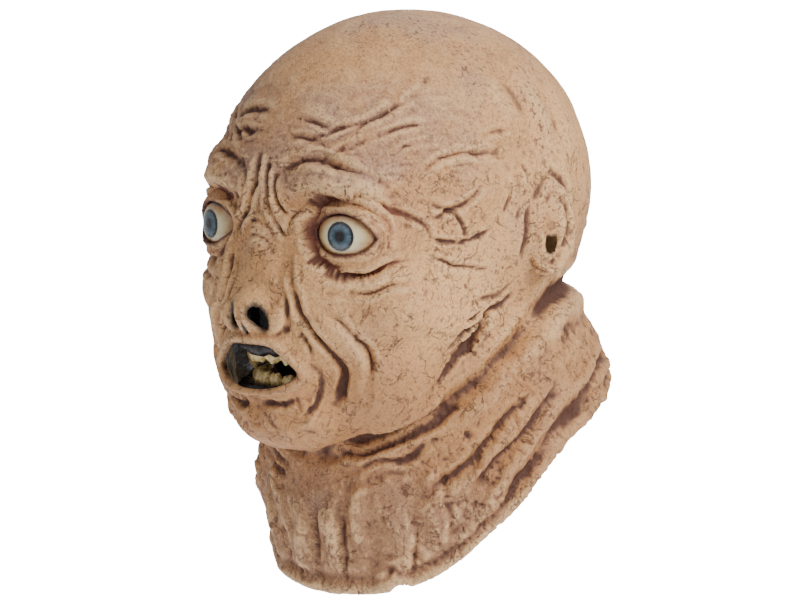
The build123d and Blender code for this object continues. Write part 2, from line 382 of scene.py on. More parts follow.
class Form:
    """A mesh being sculpted. Strokes add up in lift, in metres, and press() puts them on."""

    def __init__(self, obj):
        """Starts on a mesh, with the waver and the patchiness that a hand gives every stroke."""
        self.obj = obj
        co = points_of(obj)
        self.wave = 3.0 * MM * np.stack([grain(co, 26 * MM, seed, 2) for seed in (1, 2, 3)], 1)
        self.patchy = np.clip(0.95 + 0.7 * grain(co, 30 * MM, 6, 2), 0.45, 1.4)
        self.read()
        faces = [tuple(p.vertices) for p in obj.data.polygons]
        self.surface = BVHTree.FromPolygons(self.co.tolist(), faces)

    def read(self):
        """Takes the mesh as it is now."""
        self.co, self.normal, self.pairs = points_of(self.obj), normals_of(self.obj), edges_of(self.obj)
        self.lift = np.zeros(len(self.co))
        self.wavy = self.co + self.wave

    def around(self, angle, z):
        """The point on the skin at an angle from the front, in degrees, and a height in millimetres."""
        a = math.radians(angle)
        out = Vector((math.sin(a), -math.cos(a), 0))
        axis = Vector((0, AXIS_Y, z * MM))
        return self.surface.ray_cast(axis + out * 0.4, -out)[0] or axis + out * 0.1

    def ahead(self, x, z):
        """The point on the front of the skin at a place across the face and a height, in millimetres."""
        start = Vector((x * MM, -0.4, z * MM))
        return self.surface.ray_cast(start, Vector((0, 1, 0)))[0] or Vector(mm(x, -100, z))

    def stroke(self, tool, stations, width, height, place=None, ends=0.3):
        """Draws a tool along a path; width is half the tool's own, and both are in millimetres."""
        place = place or self.around
        scale = np.array((1.8, 1) if place == self.around else (1, 1))
        path = curve_through(np.array(stations) * scale, 4) / scale
        line = np.array([place(*p) for p in path])
        reach = 2.4 * width * MM
        low, high = line.min(0) - reach, line.max(0) + reach
        near = np.flatnonzero(((self.wavy > low) & (self.wavy < high)).all(1))
        if not len(near):
            return
        start, along = line[:-1], np.diff(line, axis=0)
        away = self.wavy[near][:, None] - start[None]
        t = np.clip((away * along).sum(2) / np.maximum((along**2).sum(1), 1e-12), 0, 1)
        off = away - t[..., None] * along
        distance = np.sqrt((off**2).sum(2))
        best, row = distance.argmin(1), np.arange(len(near))
        share = (best + t[row, best]) / len(along)
        side = np.sign((np.cross(along[best], self.normal[near]) * off[row, best]).sum(1))
        x = distance[row, best] / (width * MM)
        taper = ramp(share, 0, ends) * ramp(1 - share, 0, ends) * (1 - ramp(x, 1.6, 2.4))
        self.lift[near] += height * MM * tool(x * side) * taper * self.patchy[near]

    def wrinkle(self, stations, width, depth, place=None, side=1, ends=0.3):
        """A crease with a hand's unevenness, drawn on one side of the face."""
        stations = np.array(stations, float)
        stations[:, 0] += rng.uniform(-0.35, 0.35, len(stations)) * width
        stations[:, 1] += rng.uniform(-0.35, 0.35, len(stations)) * width
        width, depth = width * rng.uniform(0.9, 1.1), depth * rng.uniform(0.85, 1.15)
        self.stroke(crease, stations * (side, 1), width, depth, place, ends)

    def dab(self, place, radius, height, squash=1.0):
        """A round swelling, or a dent where the height is below 0; squash makes it long up and down."""
        away = self.co - np.array(place)
        away[:, 2] /= squash
        self.lift += height * MM * np.exp(-2 * (away**2).sum(1) / (radius * MM) ** 2)

    def press(self, rounds=0):
        """Moves the points by what the strokes add up to, and returns that before starting a new layer."""
        lift = smoothed(self.lift, self.pairs, rounds) if rounds else self.lift
        move_points(self.obj, self.co + self.normal * lift[:, None])
        self.read()
        return lift


# ---- The skin's shape ---------------------------------------------------------------------------
def fit_lids(obj, blend=1.0):
    """Draws the skin over the eyes onto the lids' own ball, so that the lids hug the eyes."""
    co = points_of(obj)
    for side in BOTH:
        middle, gaze, _ = eye_frame(side)
        away = co - middle
        distance = np.linalg.norm(away, axis=1)
        facing = (away @ gaze) / np.maximum(distance, 1e-9)
        hug = ramp(facing, 0.25, 0.6) * (1 - ramp(distance, 31 * MM, 37 * MM)) * blend
        target = distance + (LID_RADIUS - distance) * hug
        target = np.where((distance < LID_RADIUS) & (facing > 0.1), LID_RADIUS, target)
        co = middle + away * (target / np.maximum(distance, 1e-9))[:, None]
    move_points(obj, co)


def large_forms(form):
    """The hollows and masses that the balls alone can't give."""
    socket = [(7, -99), (24, -93), (50, -90), (72, -100)]
    jaw = [(12, -246), (30, -239), (45, -229), (60, -216), (80, -188), (100, -165), (125, -152), (184, -149)]
    jaw_roll = [(angle, z - 13) for angle, z in jaw[2:]]
    for side in BOTH:
        form.dab(form.around(60 * side, -92), 24, -4.5, 1.4)  # temples
        form.dab(form.around(44 * side, -156), 24, 3.0)  # cheekbones
        form.dab(form.around(62 * side, -188), 24, -3.0)  # hollow cheeks
        form.dab(form.ahead(21 * side, -128), 9, -4.5, 1.6)  # beside the bridge of the nose
        form.dab(form.ahead(31 * side, -170), 10, -2.5)
        form.stroke(crease, on_side(socket, side), 6, 4.5, form.ahead)
        form.stroke(crease, on_side(jaw, side), 8, 7, ends=0.08)
        form.stroke(cord, on_side(jaw_roll, side), 8, 4, ends=0.15)
    form.stroke(crease, [(-14, -246), (0, -249), (14, -246)], 8, 6, ends=0.2)
    form.dab(form.ahead(0, -214), 16, -2.5)  # under the lower lip
    form.dab(form.ahead(0, -232), 16, 3)  # ball of the chin
    form.press(2)


def refined(obj):
    """Halves the faces where the detail goes: the face, the sides of the head and the front of the neck."""
    select_only(obj)
    bpy.ops.object.mode_set(mode="EDIT")
    bpy.ops.mesh.select_mode(type="FACE")
    bpy.ops.mesh.select_all(action="DESELECT")
    bpy.ops.object.mode_set(mode="OBJECT")
    middles = np.empty(len(obj.data.polygons) * 3)
    obj.data.polygons.foreach_get("center", middles)
    _, y, z = middles.reshape(-1, 3).T
    chosen = (z < -0.045) & (y < 0.012) & (z > hem_height(y) - 0.006)
    obj.data.polygons.foreach_set("select", chosen)
    bpy.ops.object.mode_set(mode="EDIT")
    bpy.ops.mesh.subdivide(number_cuts=1)
    bpy.ops.object.mode_set(mode="OBJECT")
    move_points(obj, smoothed(points_of(obj), edges_of(obj), 3))
    return obj


def opened(obj):
    """Cuts the hem, the mouth, and the holes of the eyes, nose and ears."""
    cut(obj, hem_field, 0.9)
    for side in BOTH:
        fit_lids(obj)
        cut(obj, lid_field(side), 0.6)
        cut(obj, nostril_field(side), 0.8)
        cut(obj, ear_field(side), 0.8)
    cut(obj, mouth_field, 0.4)
    fit_lids(obj)
    return obj


def sculpt_eyes(form):
    """Heavy lids in rings, bags under the eyes and a few lines that leave the outer corners."""
    for side in BOTH:
        middle, _, outward = eye_frame(side)

        def on_lid(turn, size, middle=middle, outward=outward):
            """A point round the opening: turn in degrees from the outer corner, size 1 at the edge."""
            t = math.radians(turn)
            across = outward * math.cos(t) * LID_HALF_WIDTH * size
            up = math.sin(t) * (LID_ABOVE if turn % 360 < 180 else LID_BELOW) * size
            return form.ahead(middle[0] / MM + across[0], middle[2] / MM + up)

        for tool, size, growth, first, last, width, height, ends in [
            (cord, 1.15, 0, 6, 176, 2.6, 1.5, 0.15),  # upper lid
            (cord, 1.16, 0, 188, 354, 2.3, 1.3, 0.15),  # lower lid
            (crease, 1.44, 0, -14, 192, 2.8, 3.4, 0.2),  # over the upper lid
            (crease, 1.78, -1 / 700, -26, 118, 2.8, 2.6, 0.35),
            (crease, 2.2, 0, -34, 74, 2.6, 1.7, 0.4),
            (crease, 1.5, 0, 226, 352, 2.2, 2.0, 0.3),  # under the lower lid
            (crease, 1.95, 0, 250, 338, 3.0, 3.2, 0.35),  # under the bag
            (cord, 1.74, 0, 246, 335, 3.6, 1.4, 0.35),  # the bag
            (crease, 2.6, 1 / 1500, 258, 330, 3.4, 2.6, 0.4),
        ]:
            ring = [(t, size + t * growth) for t in range(first, last, 12)]
            form.stroke(tool, ring, width, height, on_lid, ends)
        for line, depth in [
            ([(46, -103), (57, -98), (66, -88), (71, -74)], 2.2),
            ([(47, -112), (60, -114), (71, -109), (78, -98)], 2.0),
            ([(46, -121), (59, -131), (70, -134), (80, -129)], 2.4),
            ([(60, -139), (68, -150), (72, -164)], 1.8),
        ]:
            form.wrinkle(line, 2.4, depth, side=side)
    form.press()


def sculpt_brow(form):
    """Rolls over the eyes, deep frown grooves, and wavy lines up the forehead to the scalp."""
    for side in BOTH:
        brow = [(15, -90), (32, -80), (52, -80), (67, -90), (75, -104)]
        form.stroke(cord, on_side(brow, side), 8, 3.6, form.ahead)
        for line, width, depth in [
            ([(8, -86), (17, -73), (34, -66), (54, -66), (70, -76)], 4.2, 4.2),
            ([(3, -60), (5, -78), (8, -96), (16, -108), (25, -113)], 3.2, 4.6),
            ([(13, -66), (13, -82), (19, -96), (28, -101)], 3.0, 3.4),
        ]:
            form.wrinkle(line, width, depth, form.ahead, side)
        for line, width, depth, ends in [
            ([(9, -70), (15, -56), (27, -45), (36, -36), (44, -20)], 2.8, 3.0, 0.4),
            ([(15, -68), (24, -52), (33, -41), (45, -30), (56, -12)], 2.4, 2.4, 0.4),
            ([(20, -64), (30, -52), (42, -47), (56, -44)], 2.6, 2.4, 0.4),
            ([(38, -62), (47, -57), (57, -57)], 2.2, 1.6, 0.4),
            ([(46, -78), (55, -66), (68, -62), (80, -66)], 3.0, 2.4, 0.3),
            ([(62, -60), (72, -50), (84, -48)], 3.0, 1.6, 0.3),
        ]:
            form.wrinkle(line, width, depth, form.around, side, ends)
    for height, half_angle, depth in [(-55, 24, 2.6), (-44, 28, 2.0)]:
        gap = rng.uniform(-8, 8)
        for start, end in [(-half_angle, gap - 2), (gap + 3, half_angle)]:
            line = []
            for angle in np.linspace(start, end, 4):
                line.append((angle, height + 4 * math.cos(math.radians(angle * 4)) + rng.uniform(-2.5, 2.5)))
            form.wrinkle(line, 3.2, depth, ends=0.45)
            form.stroke(cord, [(angle, z + 6) for angle, z in line], 5, depth * 0.35)
    form.wrinkle([(-9, -106), (0, -103), (9, -107)], 2.4, 2.4, form.ahead)
    form.wrinkle([(-8, -114), (1, -112), (8, -115)], 2.2, 1.6, form.ahead)
    form.press()


def sculpt_nose_and_mouth(form):
    """Wings, the long folds from nose to chin, full lips with upright lines, and a lumpy chin."""
    smile = [(23, -118), (27, -134), (31, -150), (36, -163), (46, -176), (51, -191), (48, -206), (40, -217)]
    cheek_roll = [(x + 8, z + 3) for x, z in smile[2:]]
    for side in BOTH:
        wing = on_side([(17, -149), (21, -157), (20, -167), (12, -171)], side)
        form.stroke(cord, wing, 3.6, 2.4, form.ahead)
        form.wrinkle([(15, -128), (21, -140), (26, -152), (25, -166), (16, -174)], 2.8, 3.2, form.ahead, side)
        form.stroke(cord, on_side([(3.2, -151), (3.6, -160), (3.4, -168)], side), 2.4, 1.0, form.ahead)
        form.wrinkle(smile, 3.4, 5.0, form.ahead, side, 0.2)
        form.stroke(cord, on_side(cheek_roll, side), 6, 3.0, form.ahead, 0.3)
        for line, width, depth in [
            ([(38, -146), (50, -156), (61, -170), (65, -188), (61, -208)], 3.2, 2.8),
            ([(33, -180), (40, -190), (41, -203), (35, -216), (26, -226)], 2.8, 3.4),
            ([(29, -166), (36, -176), (38, -184)], 2.4, 2.0),
        ]:
            form.wrinkle(line, width, depth, form.ahead, side)
        form.stroke(cord, on_side([(2.8, -166), (3.6, -171), (5, -176)], side), 1.9, 1.5, form.ahead)
        for x in (9, 13, 19, 27, 31):
            x += rng.uniform(-1.2, 1.2)
            over = [(x, -173), (x * 1.12 + 1, -167 - rng.uniform(0, 3))]
            form.wrinkle(over, 1.6, rng.uniform(0.8, 1.8), form.ahead, side)
            under = [(x, -206), (x * 1.1, -215 - rng.uniform(0, 5))]
            form.wrinkle(under, 1.7, rng.uniform(0.8, 1.8), form.ahead, side)
        form.wrinkle([(3, -214), (17, -214), (30, -208)], 3.2, 3.4, form.ahead, side)
        form.wrinkle([(5, -222), (13, -230), (13, -241)], 3.0, 2.2, form.ahead, side)
        form.wrinkle([(24, -222), (27, -232), (22, -243)], 3.0, 1.8, form.ahead, side)
        for x, z, size, height in [
            (9, -221, 7, 1.8), (20, -228, 7, 1.6), (33, -222, 8, 1.6), (46, -214, 9, 1.6),
        ]:
            form.dab(form.ahead(x * side, z + rng.uniform(-2, 2)), size, height)
    mouth = mouth_field(form.co)
    form.lift += 2.8 * MM * np.exp(-(((mouth - 0.32) / 0.3) ** 2)) * (form.co[:, 1] < -0.09)
    form.press(1)


def sculpt_ears(form):
    """Plain ears, low against the head: a rolled edge, a hollow with the hole in it, and a lobe."""
    edge = [(-1, -101), (2, -91), (12, -85), (23, -91), (26, -105), (22, -122), (13, -135), (3, -134)]
    edge.append((-1, -127))
    for side in BOTH:

        def on_ear(y, z, side=side):
            """The point on the side of the head at a place from front to back and a height."""
            hit = form.surface.ray_cast(Vector((0.3 * side, y * MM, z * MM)), Vector((-side, 0, 0)))[0]
            return hit or Vector((0.1 * side, y * MM, z * MM))

        form.stroke(cord, edge, 3.4, 4.4, on_ear, 0.12)
        form.stroke(cord, [(8, -97), (16, -98), (18, -110), (13, -123)], 2.4, 2.4, on_ear, 0.2)
        form.dab(on_ear(9, -112), 8, -4.5, 1.6)
        form.dab(on_ear(1, -117), 3.5, 2.5, 1.3)
        form.dab(on_ear(7, -132), 5, 2.0)
        for line, width, depth, ends in [
            ([(4, -80), (18, -78), (30, -90), (33, -110), (28, -130), (16, -143)], 4, 3.4, 0.15),
            ([(-6, -84), (-8, -98), (-8, -114), (-7, -130), (-2, -144)], 3.0, 2.8, 0.3),
            ([(-18, -72), (-14, -92), (-17, -112)], 3.4, 1.6, 0.3),
            ([(-4, -72), (1, -48), (-4, -22), (-14, -6)], 11, 2.2, 0.45),
            ([(22, -70), (32, -46), (30, -20)], 12, 1.6, 0.45),
        ]:
            form.stroke(crease, line, width, depth, on_ear, ends)
    form.press(1)


def sculpt_cheeks(form):
    """Long, flowing lines from the ear to the jaw, with short ones beside them, and scattered pits."""
    for side in BOTH:
        for number in range(7):
            start, start_z = 92 - number * 2 + rng.uniform(-3, 3), -138 - number * 3.5
            end, end_z = 66 - number * 3.2 + rng.uniform(-4, 4), -156 - number * 9.5 + rng.uniform(-4, 4)
            line = []
            for t in (0, 0.35, 0.7, 1):
                sag = 5 * math.sin(math.pi * t)
                line.append((start + (end - start) * t, start_z + (end_z - start_z) * t - sag))
            form.wrinkle(line, rng.uniform(2.2, 3.2), rng.uniform(2.0, 3.6), form.around, side, 0.4)
            shift = rng.uniform(2.5, 4.5)
            beside = [(angle - shift, z + shift) for angle, z in line[1:3]]
            form.wrinkle(beside, 2.0, rng.uniform(0.8, 1.6), form.around, side, 0.45)
        form.wrinkle([(84, -66), (88, -84), (84, -104)], 2.4, 1.6, form.around, side)
        form.wrinkle([(77, -74), (80, -90), (76, -104)], 2.2, 1.2, form.around, side)
    for _ in range(70):
        spot = form.around(rng.uniform(-95, 95), rng.uniform(-236, -40))
        form.dab(spot, rng.uniform(2.0, 4.2), -rng.uniform(0.5, 1.3), rng.uniform(0.7, 1.6))
    form.press()


def neck_line(angle, share):
    """A height in millimetres between the hem, 0, and the fold under the jaw, 1, at an angle."""
    size = abs(angle)
    top = np.interp(size, [0, 45, 80, 100, 125, 184], [-249, -229, -188, -165, -152, -149])
    y = AXIS_Y / MM - 104 * math.cos(math.radians(size))
    low = hem_height(y * MM) / MM
    return low + (top - low) * share


def sculpt_neck(form):
    """Stretched folds under the jaw, upright cords in front and heavy slanting folds round the sides."""
    for side in BOTH:
        for number, (share, depth) in enumerate([(0.93, 3.2), (0.83, 2.6), (0.74, 1.8)]):
            angles = np.arange(4 + number * 6, 76 - number * 8, 11)
            line = [(a, neck_line(a, share) + rng.uniform(-3, 3)) for a in angles]
            form.wrinkle(line, 3.4, depth, form.around, side)
        for angle, top, foot, width, height in [
            (8, 0.7, 0.1, 8, 4.2), (24, 0.85, 0.3, 6, 2.6), (37, 0.62, 0.04, 9, 4.6), (55, 0.72, 0.2, 7, 2.8),
        ]:
            lean = rng.uniform(-4, 4)
            line = []
            for share in np.linspace(top, foot, 4):
                line.append((angle + lean * share * 2 + rng.uniform(-2, 2), neck_line(angle, share)))
            form.stroke(cord, on_side(line, side), width, height)
            if width > 6:
                form.wrinkle([(a + 0.75 * width, z) for a, z in line], 3.2, height * 0.7, form.around, side)
        for number in range(8):
            start = 42 + number * 12 + rng.uniform(-8, 8)
            length = rng.uniform(36, 80)
            low, rise = rng.uniform(0.05, 0.6), rng.uniform(0.1, 0.4)
            line = []
            for t in np.linspace(0, 1, 5):
                angle = start + length * t
                if angle < 176:
                    line.append((angle, neck_line(angle, low + rise * t) + rng.uniform(-3, 3)))
            if len(line) > 3:
                along = on_side(line, side)[::side]
                form.stroke(fold, along, rng.uniform(6.0, 11.0), rng.uniform(2.4, 4.4))
                below = [(a + 6, z - 5) for a, z in line[1:-1]]
                form.wrinkle(below, 2.8, rng.uniform(1.4, 2.8), form.around, side)
        for _ in range(16):
            angle, share = rng.uniform(24, 100), rng.uniform(0.1, 0.75)
            pit = form.around(angle * side, neck_line(angle, share))
            form.dab(pit, rng.uniform(3, 6), -rng.uniform(0.8, 2.6))
    form.dab(form.around(33, neck_line(33, 0.14)), 9, 5)
    form.press(1)


def sculpt_surface(form):
    """Uneven, slumped rubber all over, crumpled where the neck bunches up, and a thick rolled hem."""
    x, y, z = form.co.T
    bunched = ramp(-z, 0.14, 0.26)
    crumple = 1 - np.abs(grain(form.co * (1.3, 1.3, 0.7), 19 * MM, 7, 3)) * 2.2
    form.lift += MM * 1.3 * grain(form.co, 46 * MM, 4, 2)
    form.lift += MM * (0.35 + 0.7 * bunched) * grain(form.co, 16 * MM, 5, 3)
    form.lift -= MM * (0.1 + 0.45 * bunched) * ramp(crumple, 0.7, 1.0)
    level = 1 - np.abs(grain(form.co * (0.4, 0.4, 1.5), 10 * MM, 8, 2)) * 2.2
    forehead = ramp(z, -0.1, -0.07) * (1 - ramp(z, -0.03, 0)) * ramp(-y, 0, 0.05)
    form.lift -= MM * 0.75 * forehead * ramp(level, 0.75, 1.0)
    slant = np.stack([x, (y - z) * 0.35, (y + z) * 1.3], 1)
    swept = 1 - np.abs(grain(slant, 13 * MM, 9, 2)) * 2.2
    sides = ramp(y, -0.09, -0.03) * (0.65 * ramp(-z, 0.13, 0.16) + 0.6 * bunched)
    form.lift -= MM * sides * ramp(swept, 0.72, 1.0)
    hem = hem_field(form.co) * 10 * MM
    form.lift += 2.6 * MM * np.exp(-(((hem - 4 * MM) / (4.5 * MM)) ** 2))
    form.lift -= 1.4 * MM * np.exp(-(((hem - 12 * MM) / (3 * MM)) ** 2))
    form.press()


def clear_of_eyes(co, gap):
    """Points moved straight out from the eyes where they are nearer to them than a gap."""
    for side in BOTH:
        middle = eye_frame(side)[0]
        away = co - middle
        distance = np.linalg.norm(away, axis=1, keepdims=True)
        co = middle + away * np.maximum(distance, EYE_RADIUS + gap) / distance
    return co


def shelled(obj, smooth_co):
    """Turns the edges of the openings in and adds the inner wall, which follows the smooth form."""
    count = len(obj.data.vertices)
    pairs, normal = edges_of(obj), normals_of(obj)
    edge = rim_points(obj).astype(float)
    rows = np.maximum(smoothed(edge, pairs, 3), edge)
    co = points_of(obj)
    co = clear_of_eyes(co, 2.6 * MM)
    front = (co[:, 1] < -0.07) & (co[:, 2] > hem_height(co[:, 1]) + 0.02)
    move_points(obj, co - normal * (rows * np.where(front, 1.2, 0.9) * MM)[:, None])
    modified(obj, "SOLIDIFY", thickness=WALL, offset=-1, use_rim=True)
    co = points_of(obj)
    depth = WALL * (1 - 0.35 * edge)[:, None]
    blend = (1 - smoothed(edge, pairs, 4))[:, None]
    co[count:] = (smooth_co - normal * WALL) * blend + (co[:count] - normal * depth) * (1 - blend)
    even = smoothed(normal, pairs, 6)
    even /= np.linalg.norm(even, axis=1, keepdims=True)
    for _ in range(6):
        below = ((co[:count] - co[count:]) * even).sum(1, keepdims=True)
        co[count:] -= even * np.maximum(depth * 0.85 - below, 0)
        co[count:] = smoothed(co[count:], pairs, 2, 0.5 * blend)
        co[count:] = clear_of_eyes(co[count:], 0.4 * MM)
    below = ((co[:count] - co[count:]) * even).sum(1, keepdims=True)
    co[count:] -= even * np.maximum(np.minimum(depth, 2 * MM) - below, 0)
    move_points(obj, co)
    inside = obj.vertex_groups.new(name="inside")
    inside.add(list(range(count, len(co))), 1.0, "REPLACE")
    modified(obj, "DECIMATE", ratio=0.56, vertex_group="inside", vertex_group_factor=1000)
    return obj


def add_septum(obj):
    """The wall between the nostrils, behind the strip of skin that shows."""
    wall = ball((0, -139, -160), (2.6, 9.5, 12))
    wall.vertex_groups.new(name="inside").add(list(range(len(wall.data.vertices))), 1.0, "REPLACE")
    return joined([obj, wall])


def written(obj, name, values):
    """Keeps a number at each point for the paint to read."""
    layer = obj.data.attributes.new(name, "FLOAT", "POINT")
    layer.data.foreach_set("value", np.ascontiguousarray(values, dtype=np.float32))


def near_field(co, field, width):
    """1 at the edge of an opening, fading out over a share of its size."""
    return 1 - ramp(field(co), 0, width)


def bulb(co, centre, radii, power=2):
    """1 at a place on the mask, in millimetres, falling to 0 beyond some radii."""
    return np.exp(-(np.linalg.norm((co - mm(*centre)) / mm(*radii), axis=1) ** power))


def mark_skin(obj):
    """Where the washes, the dry brush and the blushes of the paint go, with painted shade and a painted
    highlight.
    """
    pairs, normal, co = edges_of(obj), normals_of(obj), points_of(obj)
    outside = 1 - np.array([max([g.weight for g in v.groups], default=0.0) for v in obj.data.vertices])
    fine = ((co - smoothed(co, pairs, 4)) * normal).sum(1) / MM
    broad = ((co - smoothed(co, pairs, 40)) * normal).sum(1) / MM
    bend = smoothed(fine * 7 + broad * 0.3, pairs, 1)
    eyes = sum(np.exp(-((np.linalg.norm(co - eye_frame(side)[0], axis=1) / (33 * MM)) ** 6)) for side in BOTH)
    lips, lip_edge = near_field(co, mouth_field, 0.7), near_field(co, mouth_field, 0.12)
    nostrils = sum(near_field(co, nostril_field(side), 1.4) for side in BOTH)
    ear_holes = sum(near_field(co, ear_field(side), 1.0) for side in BOTH)
    brow = ramp(-co[:, 1], 0.02, 0.09) * ramp(co[:, 2], -0.105, -0.075) * (1 - ramp(co[:, 2], -0.035, -0.01))
    # Black inside round the mouth and nose: partly a black lining, partly painted shade where the inside is
    # seen through them.
    mouth_lining_and_shade = bulb(co, (0, -130, -190), (150, 175, 66), 4)
    nose_lining_and_shade = bulb(co, (0, -132, -158), (30, 36, 26), 4)
    half = np.abs(co) * (1, 0, 0) + co * (0, 1, 1)
    # The cheek and nape bulbs carry a painted highlight on the cheeks and the nape.
    cheek, nape = bulb(half, (84, -52, -148), (44, 44, 44)), bulb(half, (95, 40, -60), (58, 58, 58))
    for name, values in {
        "outside": outside,
        "hollow": ramp(-bend, 0.15, 4.6),
        "crest": ramp(bend, 0.2, 2.4),
        # painted shade in the broad hollows
        "shade": ramp(-broad, 0.1, 3.0),
        "blush": np.clip(eyes * 0.9 + lips * 0.6, 0, 1),
        # painted shade round the nostrils, the ear holes and the inner edge of the lips
        "opening_shade": np.clip(nostrils + ear_holes + lip_edge, 0, 1),
        # painted shade in dark red along the lid edges, in the gap where the lids meet the eyes
        "rim": np.clip(sum(near_field(co, lid_field(side), 0.24) for side in BOTH), 0, 1),
        "violet": brow,
        # the front of the neck: partly darker brown paint, partly painted shade
        "neck": ramp(-co[:, 2], 0.23, 0.27) * ramp(-co[:, 1], -0.02, 0.05),
        # black lining and painted shade inside round the mouth and nose
        "lining_and_shade": (mouth_lining_and_shade + nose_lining_and_shade) * (1 - outside),
        # painted highlight on the cheeks and the nape
        "painted_highlight": np.clip(cheek + nape, 0, 1),
        "jaw": ramp(-co[:, 2], 0.165, 0.205) * (1 - ramp(-co[:, 2], 0.25, 0.285)),
        "warm": np.clip(ramp(co[:, 1], -0.06, 0.06) * 0.8 + ramp(-co[:, 2], 0.19, 0.26) * 0.5, 0, 1),
    }.items():
        written(obj, name, values)


def make_head():
    """The latex skin, from rough clay to a thick, finished shell."""
    head = rough_head()
    large_forms(Form(head))
    opened(refined(head))
    smooth_co = points_of(head)
    form = Form(head)
    sculpt_eyes(form)
    sculpt_brow(form)
    sculpt_nose_and_mouth(form)
    sculpt_ears(form)
    sculpt_cheeks(form)
    sculpt_neck(form)
    sculpt_surface(form)
    surface = Form(head).surface
    shelled(head, smooth_co)
    add_septum(head)
    mark_skin(head)
    finish_object(head, "latex_skin")
    return head, surface


# ---- Paint --------------------------------------------------------------------------------------
class Tone:
    """A number that changes over a surface. Arithmetic on it adds Math nodes."""

    def __init__(self, paint, socket):
        """Wraps the output of a node in one paint."""
        self.paint, self.socket = paint, socket

    def math(self, operation, *values):
        """Adds one Math node."""
        return self.paint.node("ShaderNodeMath", {"operation": operation}, dict(enumerate(values)))

    def __add__(self, other):
        return self.math("ADD", self, other)

    def __radd__(self, other):
        return self.math("ADD", other, self)

    def __sub__(self, other):
        return self.math("SUBTRACT", self, other)

    def __rsub__(self, other):
        return self.math("SUBTRACT", other, self)

    def __mul__(self, other):
        return self.math("MULTIPLY", self, other)

    def __rmul__(self, other):
        return self.math("MULTIPLY", other, self)

    def __truediv__(self, other):
        return self.math("DIVIDE", self, other)

    def __pow__(self, other):
        return self.math("POWER", self, other)

    def between(self, low, high):
        """0 below low, 1 above high and a smooth rise between them."""
        inputs = {"Value": self, "From Min": low, "From Max": high}
        return self.paint.node("ShaderNodeMapRange", {"interpolation_type": "SMOOTHSTEP"}, inputs)


class Paint:
    """One material, mixed from nodes."""

    def __init__(self, name, **constants):
        """Starts a material; constants are the shader's own values."""
        self.material = bpy.data.materials.new(name)
        self.material.use_nodes = True
        self.tree = self.material.node_tree
        self.shader = self.tree.nodes["Principled BSDF"]
        self.place = self.node("ShaderNodeTexCoord", {}, {}, "Object")
        for socket, value in constants.items():
            self.shader.inputs[socket.replace("_", " ").title().replace("Ior", "IOR")].default_value = value

    def node(self, kind, settings, inputs, output=0):
        """Adds a node: its settings first, then the values and links of its sockets."""
        node = self.tree.nodes.new(kind)
        for setting, value in settings.items():
            setattr(node, setting, value)
        for socket, value in inputs.items():
            if isinstance(value, Tone):
                self.tree.links.new(value.socket, node.inputs[socket])
            else:
                node.inputs[socket].default_value = value
        return Tone(self, node.outputs[output])

    def mark(self, name):
        """A number kept at each point of the piece."""
        return self.node("ShaderNodeAttribute", {"attribute_name": name}, {}, "Fac")

    def cloud(self, size, detail=3, roughness=0.55, warp=0.0):
        """Cloudy noise from 0 to 1, with clouds of about this size in millimetres."""
        inputs = {"Vector": self.place, "Scale": 1 / (size * MM), "Detail": detail, "Roughness": roughness}
        return self.node("ShaderNodeTexNoise", {}, inputs | {"Distortion": warp}, "Fac")

    def cells(self, size, feature="F1"):
        """The distance to the nearest of some scattered points, about this far apart in millimetres."""
        inputs = {"Vector": self.place, "Scale": 1 / (size * MM)}
        return self.node("ShaderNodeTexVoronoi", {"feature": feature}, inputs, "Distance")

    def blend(self, factor, *colours):
        """One colour fading into another: a colour is three numbers or the outcome of another blend."""
        first, second = [c if isinstance(c, Tone) else (*c, 1) for c in colours]
        settings = {"data_type": "RGBA", "clamp_factor": True}
        return self.node("ShaderNodeMix", settings, {0: factor, 6: first, 7: second}, 2)

    def mapped(self, vector, **change):
        """Coordinates moved or turned by a Mapping node."""
        return self.node("ShaderNodeMapping", {"vector_type": "POINT"}, {"Vector": vector} | change)

    def axes(self, vector):
        """The three parts of a vector."""
        parts = self.node("ShaderNodeSeparateXYZ", {}, {"Vector": vector}).socket.node.outputs
        return [Tone(self, part) for part in parts]

    def bumps(self, layers):
        """Chained relief: each layer is a height from 0 to 1 and its depth in millimetres."""
        normal = None
        for height, depth in layers:
            inputs = {"Height": height, "Distance": depth * MM} | ({"Normal": normal} if normal else {})
            normal = self.node("ShaderNodeBump", {}, inputs)
        return normal

    def finish(self, **sockets):
        """Links what changes over the surface to the shader."""
        for socket, tone in sockets.items():
            self.tree.links.new(tone.socket, self.shader.inputs[socket.replace("_", " ").title()])
        return self.material


# The honey colour is a painted highlight; the violet brown is painted shade, and on the neck front darker
# paint too; the dark red and the maroon are painted shade.
TAN, PALE, BONE = (0.49, 0.235, 0.088), (0.60, 0.32, 0.125), (0.76, 0.47, 0.22)
HIGHLIGHT_HONEY, OCHRE, RUST = (0.88, 0.48, 0.19), (0.32, 0.125, 0.036), (0.33, 0.135, 0.055)
UMBER, WASH = (0.16, 0.07, 0.035), (0.075, 0.026, 0.014)
SHADE_VIOLET_BROWN, LID_GAP_SHADE_RED = (0.155, 0.075, 0.05), (0.075, 0.016, 0.008)
VIOLET, RED_BROWN, SHADE_MAROON = (0.20, 0.13, 0.14), (0.19, 0.045, 0.02), (0.012, 0.003, 0.002)


